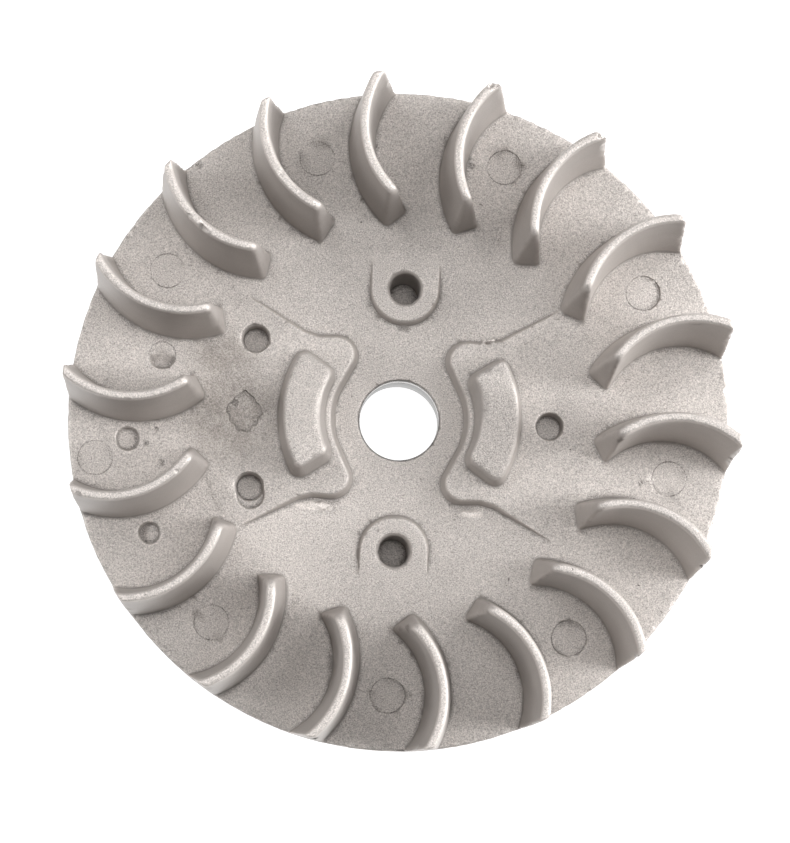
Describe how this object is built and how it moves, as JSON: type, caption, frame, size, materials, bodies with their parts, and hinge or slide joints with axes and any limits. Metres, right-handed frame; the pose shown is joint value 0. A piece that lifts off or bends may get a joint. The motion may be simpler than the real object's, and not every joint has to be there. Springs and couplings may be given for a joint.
{
  "type": "engine flywheel",
  "caption": "Small engine fan flywheel: one disc with curved blades, pawl stops and pivots, a keyed bush and a cast-in magnet group.",
  "frame": {"origin": "on the crankshaft axis, in the plane of the rim's back edge, which the part rests on", "axes": "+Z along the crankshaft axis, towards the blades; +Y through one pawl pivot, -Y through the other"},
  "size_m": [0.1, 0.1, 0.0365],
  "materials": {
    "cast_aluminium": "satin",
    "bush_steel": "satin",
    "sheet_steel": "satin",
    "rivet_steel": "satin",
    "magnet": "matte"
  },
  "bodies": {
    "root": {"fan_casting": "cast_aluminium", "hub_bush": "bush_steel", "magnet": "magnet", "shoe_rivets": "rivet_steel", "leading_shoe_sheet_1": "sheet_steel", "leading_shoe_sheet_2": "sheet_steel", "leading_shoe_sheet_3": "sheet_steel", "leading_shoe_sheet_4": "sheet_steel", "leading_shoe_sheet_5": "sheet_steel", "leading_shoe_sheet_6": "sheet_steel", "leading_shoe_sheet_7": "sheet_steel", "leading_shoe_sheet_8": "sheet_steel", "leading_shoe_sheet_9": "sheet_steel", "leading_shoe_sheet_10": "sheet_steel", "leading_shoe_sheet_11": "sheet_steel", "leading_shoe_sheet_12": "sheet_steel", "trailing_shoe_sheet_1": "sheet_steel", "trailing_shoe_sheet_2": "sheet_steel", "trailing_shoe_sheet_3": "sheet_steel", "trailing_shoe_sheet_4": "sheet_steel", "trailing_shoe_sheet_5": "sheet_steel", "trailing_shoe_sheet_6": "sheet_steel", "trailing_shoe_sheet_7": "sheet_steel", "trailing_shoe_sheet_8": "sheet_steel", "trailing_shoe_sheet_9": "sheet_steel", "trailing_shoe_sheet_10": "sheet_steel", "trailing_shoe_sheet_11": "sheet_steel", "trailing_shoe_sheet_12": "sheet_steel"}
  },
  "joints": []
}
